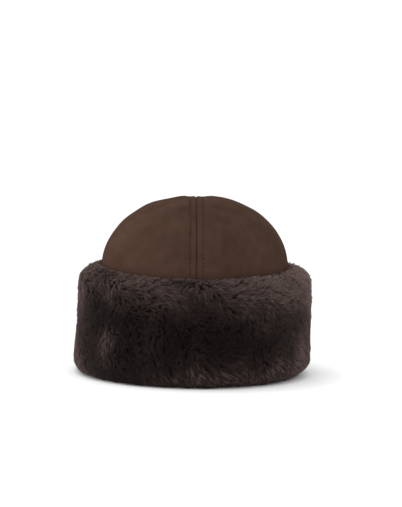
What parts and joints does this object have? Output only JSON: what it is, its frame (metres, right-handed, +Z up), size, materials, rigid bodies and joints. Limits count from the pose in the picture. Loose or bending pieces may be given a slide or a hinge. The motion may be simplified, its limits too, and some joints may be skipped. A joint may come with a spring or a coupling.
{
  "type": "shearling hat",
  "caption": "Round brimless hat of sheepskin, suede outside and wool inside, with its hem turned up into a tall deep-pile cuff.",
  "frame": {"origin": "on the surface that the hat rests on, under the middle of the cuff", "axes": "+Z up to the top of the crown, -Y out of the front seam, +X to the wearer's left"},
  "size_m": [0.245, 0.26, 0.1812],
  "materials": {
    "suede": "napped matt suede",
    "wool": "dense plush sheared wool"
  },
  "bodies": {
    "root": {"crown_panel_front_left": "suede", "crown_panel_front_right": "suede", "crown_panel_back_left": "suede", "crown_panel_back_right": "suede", "crown_wool_front_left": "wool", "crown_wool_front_right": "wool", "crown_wool_back_left": "wool", "crown_wool_back_right": "wool", "cuff_front_left": "wool", "cuff_front_right": "wool", "cuff_back_left": "wool", "cuff_back_right": "wool"}
  },
  "joints": []
}
